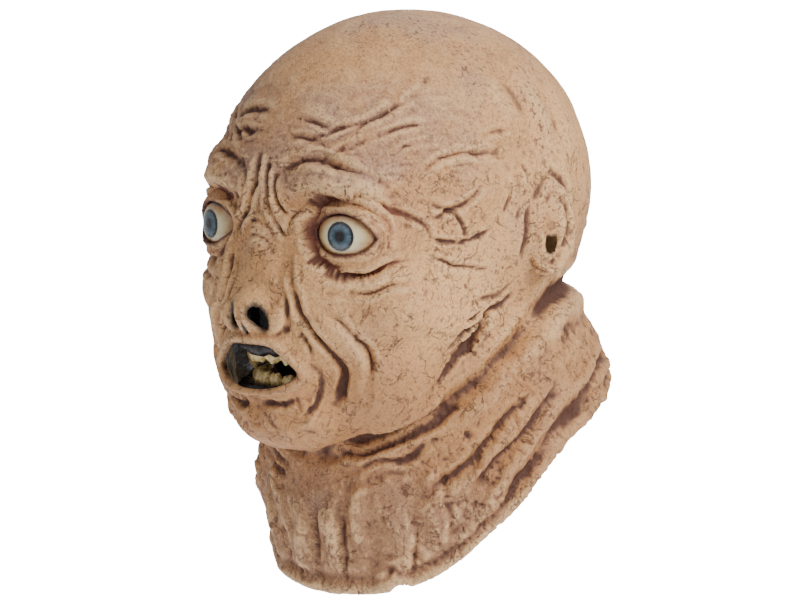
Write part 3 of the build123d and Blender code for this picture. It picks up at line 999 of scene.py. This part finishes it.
def latex_paint():
    """Tan latex: a brown wash in the folds, pale dry brush on the ridges, mottling and fine speckle, with
    painted shade in broad hollows, on the front of the neck, round the openings and at the lid edges, and a
    painted highlight on the cheeks and nape.
    """
    paint = Paint("painted_latex", specular_ior_level=0.42)
    hollow, crest, warm = paint.mark("hollow"), paint.mark("crest"), paint.mark("warm")
    patches, blots, drift = paint.cloud(34, 3), paint.cloud(13, 4, 0.6, warp=0.6), paint.cloud(60, 2)
    spray, flecks, spots = paint.cloud(1.7, 3, 0.75), paint.cloud(0.9, 2, 0.7), paint.cloud(2.8, 2, 0.5)
    vein = paint.cloud(15, 5, 0.55, warp=0.9) * 2 - 1
    web = 1 - vein.math("ABSOLUTE", vein)
    scalp = paint.axes(paint.place)[2].between(-0.085, -0.045)
    hairlines = web.between(0.955, 0.995) * blots.between(0.42, 0.6) * (1 - 0.75 * scalp)
    colour = paint.blend(patches.between(0.35, 0.7), TAN, PALE)
    colour = paint.blend(blots.between(0.48, 0.7) * (0.2 + 0.55 * warm), colour, RUST)
    colour = paint.blend(drift.between(0.45, 0.65) * patches.between(0.4, 0.65) * 0.4, colour, VIOLET)
    bruise = paint.mark("violet") * (0.5 + 0.5 * hollow)
    colour = paint.blend(bruise * patches.between(0.3, 0.6), colour, VIOLET)
    # Painted shade in the broad hollows; on the front of the neck, darker brown paint together with painted
    # shade.
    colour = paint.blend(paint.mark("shade") * 0.33 + paint.mark("neck") * 0.55, colour, SHADE_VIOLET_BROWN)
    # Painted highlight: the cheeks and the nape lightened towards honey.
    colour = paint.blend(paint.mark("painted_highlight") * 0.65, colour, HIGHLIGHT_HONEY)
    colour = paint.blend(crest * (0.4 + 0.5 * blots), colour, BONE)
    colour = paint.blend(spray.between(0.48, 0.64) * (0.2 + 0.45 * blots), colour, UMBER)
    colour = paint.blend(flecks.between(0.54, 0.62) * (0.25 + 0.35 * warm), colour, UMBER)
    colour = paint.blend((1 - spray.between(0.3, 0.46)) * 0.32, colour, BONE)
    colour = paint.blend(paint.mark("jaw") * (0.3 + 0.35 * patches), colour, OCHRE)
    colour = paint.blend(spots.between(0.58, 0.66) * (0.3 + drift.between(0.4, 0.65) * 0.6), colour, UMBER)
    colour = paint.blend(hairlines * 0.7, colour, WASH)
    colour = paint.blend(hollow.between(0.0, 0.6) * (0.55 + 0.6 * spray), colour, UMBER)
    colour = paint.blend(hollow.between(0.4, 1.0) * (0.7 + 0.5 * spray), colour, WASH)
    blush = paint.mark("blush") * (0.15 + 0.55 * hollow + 0.3 * blots.between(0.45, 0.65))
    colour = paint.blend(blush, colour, RED_BROWN)
    # Painted shade: dark red along the lid edges, in the gap where the lids meet the eyes.
    colour = paint.blend(paint.mark("rim"), colour, LID_GAP_SHADE_RED)
    # Painted shade: near black round the nostrils, the ear holes and the inner edge of the lips.
    colour = paint.blend(paint.mark("opening_shade") * 0.95, colour, SHADE_MAROON)
    roughness = 0.56 - 0.1 * crest + 0.12 * blots + 0.06 * hollow
    pores, creep = paint.cells(1.1).between(0.0, 0.5), paint.cloud(4.2, 4, 0.6, warp=1.6)
    skin = paint.cloud(1.3, 3, 0.6)
    normal = paint.bumps([(1 - hairlines, 0.5), (creep, 1.1), (skin, 0.18), (pores, 0.06)])
    return paint.finish(base_color=colour, roughness=roughness, normal=normal)


def raw_latex():
    """The inside: unpainted cream rubber with pour marks and small pits, and black round the mouth and nose
    that is partly a black lining and partly painted shade.
    """
    paint = Paint("raw_latex", specular_ior_level=0.4)
    flow = paint.cloud(26, 4, 0.6, warp=1.5)
    colour = paint.blend(flow.between(0.35, 0.7), (0.62, 0.46, 0.28), (0.46, 0.31, 0.17))
    colour = paint.blend(paint.cloud(1.2, 2).between(0.6, 0.75) * 0.4, colour, (0.30, 0.19, 0.10))
    # Black round the mouth and nose: partly a black lining, partly painted shade for the dark inside of the
    # mask.
    lining_and_shade = paint.mark("lining_and_shade").between(0.1, 0.4)
    colour = paint.blend(lining_and_shade, colour, (0.006, 0.004, 0.005))
    normal = paint.bumps([(flow, 1.2), (paint.cells(3.0).between(0, 0.4), 0.15)])
    return paint.finish(base_color=colour, roughness=0.62 + 0.2 * flow - 0.45 * lining_and_shade, normal=normal)


# ---- Eyes ---------------------------------------------------------------------------------------
def looking(paint, side):
    """Coordinates centred on an eye, with Z along the way it looks."""
    centred = paint.mapped(paint.place, Location=tuple(-eye_frame(side)[0]))
    level = paint.mapped(centred, Rotation=(0, 0, -math.copysign(GAZE, side)))
    return paint.mapped(level, Rotation=(math.radians(-90), 0, 0))


def sclera_paint(side):
    """Cream enamel that yellows and reddens towards the lids, with fine veins, and a near-black edge that is
    painted shade where the lids meet the eye.
    """
    paint = Paint("sclera_" + SIDE_NAMES[side], roughness=0.12, coat_weight=0.6, coat_roughness=0.05)
    x, y, _ = paint.axes(looking(paint, side))
    reach = ((x / (20.5 * MM)) ** 2 + (y / (12.6 * MM)) ** 2) ** 0.5
    blots, spots = paint.cloud(5, 4, 0.6, warp=0.8), paint.cloud(1.3, 3, 0.7)
    age = reach.between(0.25, 0.95) * (0.4 + 0.9 * blots)
    colour = paint.blend(age, (0.70, 0.63, 0.42), (0.36, 0.23, 0.06))
    veins = 1 - paint.cells(4.5, "DISTANCE_TO_EDGE").between(0.0, 0.09)
    veins = veins * reach.between(0.5, 1.0) * blots.between(0.4, 0.6)
    colour = paint.blend(veins * 0.5, colour, (0.40, 0.05, 0.03))
    colour = paint.blend(reach.between(0.6, 0.98) * (0.2 + spots * 0.9), colour, (0.26, 0.06, 0.02))
    # Painted shade: a near-black band at the edge, where the lids meet the eye.
    colour = paint.blend(reach.between(0.88, 1.0), colour, (0.035, 0.008, 0.004))
    return paint.finish(base_color=colour)


def iris_paint(side):
    """Slate blue with fine fibres, darker round the pupil and ringed with black."""
    paint = Paint("iris_" + SIDE_NAMES[side], roughness=0.2, coat_weight=0.7)
    x, y, _ = paint.axes(looking(paint, side))
    radius = (x**2 + y**2) ** 0.5 / (8.8 * MM)
    angle = y.math("ARCTAN2", y, x)
    fibre_place = paint.node("ShaderNodeCombineXYZ", {}, {0: angle * 9, 1: radius * 1.3, 2: 0.3})
    fibres = paint.node("ShaderNodeTexNoise", {}, {"Vector": fibre_place, "Scale": 1.6, "Detail": 3}, "Fac")
    colour = paint.blend(fibres.between(0.35, 0.68), (0.035, 0.07, 0.10), (0.095, 0.16, 0.205))
    colour = paint.blend(1 - radius.between(0.38, 0.62), colour, (0.02, 0.042, 0.06))
    colour = paint.blend(radius.between(0.74, 0.88), colour, (0.002, 0.003, 0.005))
    return paint.finish(base_color=colour, normal=paint.bumps([(fibres, 0.15)]))


def pupil_paint():
    """Gloss black with the faint cloudiness of sprayed lacquer."""
    paint = Paint("pupil_lacquer", coat_weight=0.5)
    haze = paint.cloud(2.0, 3)
    colour = paint.blend(haze, (0.002, 0.002, 0.003), (0.007, 0.007, 0.009))
    return paint.finish(base_color=colour, roughness=0.15 + 0.1 * haze)


def cornea_paint():
    """Clear cast resin with a few faint smears."""
    paint = Paint("clear_resin", alpha=0.1, coat_weight=1.0, coat_roughness=0.02)
    smear = paint.cloud(4, 3, 0.6, warp=1.5)
    colour = paint.blend(smear, (0.01, 0.01, 0.012), (0.02, 0.02, 0.022))
    return paint.finish(base_color=colour, roughness=0.03 + 0.04 * smear)


def ring_paint():
    """Black moulded plastic with a fine spark-eroded grain."""
    paint = Paint("moulded_black_plastic")
    specks, dust = paint.cells(0.7), paint.cloud(12, 4)
    colour = paint.blend(dust.between(0.45, 0.75), (0.018, 0.018, 0.019), (0.05, 0.047, 0.043))
    normal = paint.bumps([(specks, 0.05), (dust, 0.1)])
    return paint.finish(base_color=colour, roughness=0.45 + 0.2 * dust, normal=normal)


def dressed(piece, node, material):
    """Finishes a new piece that stands for a CAD node: smooth shading, its material, a place under the root,
    and the CAD node hidden.
    """
    select_only(piece)
    bpy.ops.object.shade_smooth()
    piece.data.materials.append(material)
    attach(piece, "root")
    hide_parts(node)


def recoated(node, material):
    """Gives a CAD node its finished material."""
    nodes[node].data.materials.clear()
    nodes[node].data.materials.append(material)


def paint_eyes():
    """The two eyes and the rings behind them."""
    pupil, cornea, ring = pupil_paint(), cornea_paint(), ring_paint()
    for side, name in SIDE_NAMES.items():
        recoated(f"eye_dome_{name}", sclera_paint(side))
        recoated(f"iris_{name}", iris_paint(side))
        recoated(f"pupil_{name}", pupil)
        recoated(f"cornea_{name}", cornea)
        recoated(f"eye_ring_{name}", ring)


# ---- Teeth, gums and tongue ---------------------------------------------------------------------
def copied(node, name):
    """A copy of a CAD node's mesh with its loose triangles joined up."""
    bpy.ops.object.select_all(action="DESELECT")
    obj = bpy.data.objects.new(name, nodes[node].data.copy())
    bpy.context.scene.collection.objects.link(obj)
    obj.data.name = name
    obj.data.materials.clear()
    select_only(obj)
    bpy.ops.object.mode_set(mode="EDIT")
    bpy.ops.mesh.select_all(action="SELECT")
    bpy.ops.mesh.remove_doubles(threshold=1e-6)
    bpy.ops.mesh.normals_make_consistent(inside=False)
    bpy.ops.object.mode_set(mode="OBJECT")
    return obj


def remodelled(node, name, cell):
    """A CAD node's shape as an even mesh of small faces, for sculpting."""
    obj = copied(node, name)
    obj.data.remesh_voxel_size = cell * MM
    select_only(obj)
    bpy.ops.object.voxel_remesh()
    move_points(obj, smoothed(points_of(obj), edges_of(obj), 2))
    return obj


def tucked(obj, gap):
    """Pushes the points of a piece that lie too near the outside of the skin back behind its wall."""
    co = points_of(obj)
    for number, point in enumerate(co):
        place, normal, _, _ = skin_surface.find_nearest(Vector(point))
        depth = (place - Vector(point)).dot(normal)
        if abs(depth) < gap or depth < 0:
            co[number] = np.array(Vector(point) - normal * min(gap - depth, 12 * MM))
    move_points(obj, smoothed(co, edges_of(obj), 2))


def tooth_paint():
    """Old ivory, browner towards the gum and in the pits, under a wet gloss."""
    paint = Paint("stained_enamel", coat_weight=0.5, coat_roughness=0.08)
    root, blots = paint.mark("root"), paint.cloud(2.4, 4, 0.65, warp=1.0)
    colour = paint.blend(blots.between(0.35, 0.62), (0.88, 0.70, 0.32), (0.62, 0.39, 0.11))
    colour = paint.blend(paint.mark("crest") * 0.7, colour, (0.96, 0.88, 0.60))
    colour = paint.blend(root.between(0.45, 0.95) * (0.4 + 0.6 * blots), colour, (0.07, 0.026, 0.008))
    colour = paint.blend(paint.mark("hollow") * 0.8, colour, (0.05, 0.018, 0.008))
    colour = paint.blend(paint.cloud(0.9, 3, 0.7).between(0.6, 0.68) * 0.7, colour, (0.04, 0.02, 0.01))
    return paint.finish(base_color=colour, roughness=0.22 + 0.25 * blots, normal=paint.bumps([(blots, 0.25)]))


def gum_paint():
    """Wet black gums that turn purple-grey on their ridges."""
    paint = Paint("black_gum", coat_weight=0.25, coat_roughness=0.06, specular_ior_level=0.2)
    blots = paint.cloud(7, 4, 0.6, warp=0.8)
    colour = paint.blend(blots.between(0.42, 0.7), (0.004, 0.003, 0.004), (0.022, 0.010, 0.014))
    colour = paint.blend(paint.mark("crest") * 0.4, colour, (0.03, 0.014, 0.019))
    normal = paint.bumps([(paint.cloud(1.6, 3), 0.5)])
    return paint.finish(base_color=colour, roughness=0.3 + 0.2 * blots, normal=normal)


def tongue_paint():
    """Dark liver red with pale bumps."""
    paint = Paint("tongue_rubber", coat_weight=0.6, coat_roughness=0.1)
    blots, bumps = paint.cloud(6, 4), paint.cells(1.0)
    colour = paint.blend(blots.between(0.35, 0.7), (0.10, 0.018, 0.018), (0.20, 0.055, 0.05))
    colour = paint.blend(paint.mark("hollow"), colour, (0.03, 0.004, 0.004))
    normal = paint.bumps([(bumps, 0.25), (blots, 0.4)])
    return paint.finish(base_color=colour, roughness=0.3 + 0.2 * blots, normal=normal)


def mark_relief(obj, rounds, gain):
    """Where a small piece is hollow and where it stands up."""
    pairs, normal, co = edges_of(obj), normals_of(obj), points_of(obj)
    bend = ((co - smoothed(co, pairs, rounds)) * normal).sum(1) / MM * gain
    written(obj, "hollow", ramp(-bend, 0.2, 1.6))
    written(obj, "crest", ramp(bend, 0.2, 1.6))


def shaped_tooth(node, upper, paint):
    """One crooked cast tooth: a bulging crown with ridges, a worn edge and a stained root."""
    tooth = remodelled(node, node + "_cast", 0.45)
    co = points_of(tooth)
    low, high = co.min(0), co.max(0)
    middle, size = (low + high) / 2, high - low
    up = (co[:, 2] - low[2]) / size[2]
    root = up if upper else 1 - up
    fang = node.endswith("_3") and upper
    seed = sum(map(ord, node)) % 17
    turn = rng.uniform(-0.12, 0.12)
    away = co - middle
    belly = 1 + 0.12 * np.sin(math.pi * np.clip(root, 0, 1)) - (0.1 * (1 - root) if fang else 0)
    away[:, :2] *= belly[:, None] * 1.14
    away[:, 2] *= 1.1
    out = np.array([middle[0], middle[1] + 100 * MM, 0])
    out /= np.linalg.norm(out)
    across = np.array([-out[1], out[0], 0])
    along = away @ across
    ridges = np.cos(along / (size[:2].max()) * 11 + seed)
    away += np.outer(ridges * 0.28 * MM * (away @ out > 0), out)
    away[:, 2] += 0.5 * MM * np.sin(along / MM * 1.1 + seed) * (1 - root) * (1 if upper else -1)
    away += np.outer(turn * away[:, 2], across) + out * 1.6 * MM
    co = middle + away
    co += normals_of(tooth) * (0.5 * MM * grain(co, 3.5 * MM, seed, 3))[:, None]
    move_points(tooth, smoothed(co, edges_of(tooth), 1))
    written(tooth, "root", root)
    mark_relief(tooth, 8, 5)
    dressed(tooth, node, paint)


def shaped_gum(node, upper, paint):
    """A gum tray with a swollen, wrinkled roll of gum in front of it, behind the lips."""
    gum = copied(node, node + "_cast")
    swelling = []
    for turn in range(-84, 85, 8):
        a = math.radians(turn)
        size = rng.uniform(0.9, 1.15)
        x, y, z = 32 * math.sin(a), -100 - 32 * math.cos(a), -178.5 if upper else -208
        swelling.append(ball((x, y, z + rng.uniform(-0.7, 0.7)), (5 * size, 5 * size, 6 * size)))
    gum = joined([gum] + swelling)
    gum.name = gum.data.name = node + "_cast"
    gum.data.remesh_voxel_size = 0.9 * MM
    select_only(gum)
    bpy.ops.object.voxel_remesh()
    move_points(gum, smoothed(points_of(gum), edges_of(gum), 4))
    co, normal = points_of(gum), normals_of(gum)
    lift = 0.5 * MM * grain(co, 7 * MM, 3, 3) + 0.35 * MM * grain(co * (1.6, 1.6, 0.6), 2.6 * MM, 9, 2)
    move_points(gum, smoothed(co + normal * lift[:, None], edges_of(gum), 1))
    tucked(gum, WALL + 0.6 * MM)
    mark_relief(gum, 10, 3)
    dressed(gum, node, paint)


def shaped_tongue():
    """The tongue: a groove down its middle and a bumpy top."""
    tongue = remodelled("tongue", "tongue_cast", 0.8)
    co, normal = points_of(tongue), normals_of(tongue)
    top = ramp(normal[:, 2], 0.1, 0.8)
    lift = -1.6 * MM * np.exp(-((co[:, 0] / (2.2 * MM)) ** 2)) * top + 0.6 * MM * grain(co, 5 * MM, 12, 3)
    move_points(tongue, smoothed(co + normal * lift[:, None], edges_of(tongue), 1))
    mark_relief(tongue, 10, 3)
    dressed(tongue, "tongue", tongue_paint())


def make_mouth_parts():
    """Sixteen teeth in two gums, and the tongue."""
    enamel, gum = tooth_paint(), gum_paint()
    for jaw in ("upper", "lower"):
        shaped_gum(f"{jaw}_gum", jaw == "upper", gum)
        for name in ("left", "right"):
            for number in (1, 2, 3, 4):
                shaped_tooth(f"{jaw}_tooth_{name}_{number}", jaw == "upper", enamel)
    shaped_tongue()


# ---- Screens and pads ---------------------------------------------------------------------------
def scrim_paint():
    """Black nylon scrim: a plain weave, dusted with a little latex powder."""
    paint = Paint("black_scrim", sheen_weight=0.2)
    x, _, z = paint.axes(paint.place)
    turns = math.tau / (1.1 * MM)
    warp, weft = x.math("SINE", x * turns), z.math("SINE", z * turns)
    threads = (warp * weft) * 0.5 + 0.5
    dust = paint.cloud(9, 4)
    colour = paint.blend(threads, (0.005, 0.005, 0.006), (0.022, 0.022, 0.024))
    colour = paint.blend(dust.between(0.5, 0.75) * 0.25, colour, (0.12, 0.10, 0.08))
    normal = paint.bumps([(threads, 0.25)])
    return paint.finish(base_color=colour, roughness=0.75 + 0.15 * threads, normal=normal)


CORNER = 6  # the radius of a screen's corners, in millimetres


def make_screen(node, centre, size, depth_at, paint):
    """A rounded piece of scrim behind an opening, a little loose between its glued edges."""
    bpy.ops.object.select_all(action="DESELECT")
    bpy.ops.mesh.primitive_grid_add(
        x_subdivisions=int(size[0] / 0.9), y_subdivisions=int(size[1] / 0.9), size=1,
        location=mm(centre[0], 0, centre[1]), rotation=(math.pi / 2, 0, 0),
    )
    bpy.context.object.scale = mm(size[0] + 3, size[1] + 3, 1)
    screen = finish_object(bpy.context.object, node + "_cloth")

    def outline(co):
        """Below 0 outside a rectangle with rounded corners."""
        across = np.abs(co[:, [0, 2]] - mm(*centre)) - (np.array(size) / 2 - CORNER) * MM
        past = np.linalg.norm(np.maximum(across, 0), axis=1)
        return (CORNER * MM - past - np.minimum(across.max(1), 0)) / (10 * MM)

    cut(screen, outline, 0.3)
    co = points_of(screen)
    loose = ramp(outline(co) * 10, 0, 8)
    co[:, 1] = [depth_at(x, z) for x, z in co[:, [0, 2]] / MM]
    co[:, 1] = co[:, 1] * MM + 0.25 * MM * loose * grain(co, 12 * MM, 21, 2)
    move_points(screen, co)
    modified(screen, "SOLIDIFY", thickness=0.5 * MM, offset=0)
    dressed(screen, node, paint)
    mm(*size)


def make_screens():
    """One screen behind the mouth and one behind each nostril."""
    paint = scrim_paint()
    make_screen("mouth_screen", (0, -190), (62, 48), lambda x, z: -86.4, paint)

    def behind_nose(x, z):
        """How far back the nostrils' screens lie: on a large ball inside the nose."""
        return -46 - 89.3 * math.sqrt(1 - (x / 86.3) ** 2 - ((z + 150) / 88.3) ** 2)

    for side, name in SIDE_NAMES.items():
        make_screen(f"nostril_screen_{name}", (12.6 * side, -159.5), (24.8, 22), behind_nose, paint)


def foam_paint():
    """Grey open-cell foam with visible cells, darker where it has been handled."""
    paint = Paint("grey_foam", sheen_weight=0.3, sheen_roughness=0.6)
    cells, fine, worn = paint.cells(1.5), paint.cells(0.8), paint.cloud(28, 3)
    colour = paint.blend(worn.between(0.35, 0.7), (0.085, 0.085, 0.09), (0.14, 0.135, 0.13))
    colour = paint.blend((1 - cells.between(0.05, 0.5)) * 0.7, colour, (0.018, 0.018, 0.02))
    colour = paint.blend((1 - fine.between(0.05, 0.4)) * 0.35, colour, (0.02, 0.02, 0.02))
    normal = paint.bumps([(cells.between(0.05, 0.6), 0.7), (fine.between(0, 0.5), 0.3)])
    return paint.finish(base_color=colour, roughness=0.88 + 0.1 * worn, normal=normal)


def make_pad(node, paint):
    """A foam pad with soft, slightly ragged edges and a shallow channel round its face."""
    pad = remodelled(node, node + "_foam", 1.8)
    pairs = edges_of(pad)
    co = smoothed(points_of(pad), pairs, 5)
    move_points(pad, co)
    normal = normals_of(pad)
    centre = np.array(mm(0, -4, -92))
    inward = centre - co
    inward /= np.linalg.norm(inward, axis=1, keepdims=True)
    face = ramp((normal * inward).sum(1), 0.3, 0.9)
    middle = (co.min(0) + co.max(0)) / 2
    half = (co.max(0) - co.min(0)) / 2
    spread = np.sort(np.abs((co - middle) / half), axis=1)[:, 1:]
    channel = np.exp(-(((spread[:, 1] - 0.55) / 0.07) ** 2))
    sunk = face * (0.9 * channel + 0.5 * np.clip(spread[:, 1] - 0.7, 0, 1))
    lift = 0.35 * MM * grain(co, 9 * MM, 15, 3) - 1.3 * MM * sunk
    move_points(pad, smoothed(co + normal * lift[:, None], pairs, 2))
    dressed(pad, node, paint)


def make_pads():
    """The five fitting pads."""
    paint = foam_paint()
    for node in ("crown_pad", "forehead_pad", "nape_pad", "temple_pad_left", "temple_pad_right"):
        make_pad(node, paint)


# ---- Making the pieces --------------------------------------------------------------------------
head, skin_surface = make_head()
dressed(head, "head_skin", latex_paint())
head.data.materials.append(raw_latex())
weights = np.empty(len(head.data.vertices), np.float32)
head.data.attributes["outside"].data.foreach_get("value", weights)
corners = [max(weights[list(p.vertices)]) for p in head.data.polygons]
head.data.polygons.foreach_set("material_index", (np.array(corners) < 0.5).astype(int))
paint_eyes()
make_mouth_parts()
make_screens()
make_pads()


# ---- Stage, light and camera --------------------------------------------------------------------
ROOM_LIGHT, ROOM_SEEN = 0.52, 18.0  # how bright the room is as light, and as a backdrop
CAMERA_TURN, CAMERA_RISE, CAMERA_DISTANCE, CAMERA_WIDTH = 43, 7, 2.3, 0.496  # degrees and metres


def make_stage():
    """A plain pale floor well below the mask, which hangs as if from a hidden stand."""
    bpy.ops.object.select_all(action="DESELECT")
    bpy.ops.mesh.primitive_circle_add(vertices=128, radius=1.1, fill_type="NGON", location=(0, 0, -0.62))
    floor = bpy.context.object
    floor.name = "floor"
    material = bpy.data.materials.new("floor")
    material.use_nodes = True
    shader = material.node_tree.nodes["Principled BSDF"]
    shader.inputs["Base Color"].default_value = (0.9, 0.9, 0.9, 1)
    shader.inputs["Roughness"].default_value = 0.9
    shader.inputs["Emission Color"].default_value = (1, 1, 1, 1)
    shader.inputs["Emission Strength"].default_value = 1.0
    floor.data.materials.append(material)


def direction(azimuth, elevation):
    """The way out from the mask at some degrees from its front and some degrees up."""
    a, e = math.radians(azimuth), math.radians(elevation)
    return Vector((math.sin(a) * math.cos(e), -math.cos(a) * math.cos(e), math.sin(e)))


def area_light(name, azimuth, elevation, distance, size, power):
    """A square soft light that faces the mask from a direction given in degrees."""
    away = direction(azimuth, elevation)
    light = bpy.data.objects.new(name, bpy.data.lights.new(name, "AREA"))
    light.data.size = size
    light.data.energy = power
    light.location = Vector((0, -0.03, -0.15)) + away * distance
    light.rotation_euler = (-away).to_track_quat("-Z", "Y").to_euler()
    bpy.context.scene.collection.objects.link(light)


def make_lights():
    """A large key from the side, weaker lights in front and behind, and a white room."""
    area_light("key", 88, 36, 1.7, 1.0, 42)
    area_light("fill", 0, 30, 2.2, 1.6, 3.5)
    area_light("back", 215, 35, 2.0, 1.4, 9)
    world = bpy.data.worlds.new("room")
    world.use_nodes = True
    tree = world.node_tree
    seen = tree.nodes.new("ShaderNodeLightPath")
    strength = tree.nodes.new("ShaderNodeMapRange")
    strength.inputs["To Min"].default_value = ROOM_LIGHT
    strength.inputs["To Max"].default_value = ROOM_SEEN
    tree.links.new(seen.outputs["Is Camera Ray"], strength.inputs["Value"])
    tree.links.new(strength.outputs["Result"], tree.nodes["Background"].inputs["Strength"])
    tree.nodes["Background"].inputs["Color"].default_value = (1, 1, 1, 1)
    bpy.context.scene.world = world


def make_camera():
    """A long lens at the left front, a little above the middle of the mask."""
    away = direction(CAMERA_TURN, CAMERA_RISE)
    right = direction(CAMERA_TURN + 90, 0)
    up = away.cross(right)
    target = right * -0.0062 + up * -0.1619
    camera = bpy.data.objects.new("camera", bpy.data.cameras.new("camera"))
    camera.data.lens = camera.data.sensor_width * CAMERA_DISTANCE / CAMERA_WIDTH
    camera.location = target + away * CAMERA_DISTANCE
    camera.rotation_euler = (-away).to_track_quat("-Z", "Y").to_euler()
    bpy.context.scene.collection.objects.link(camera)
    bpy.context.scene.camera = camera


make_stage()
make_lights()
make_camera()
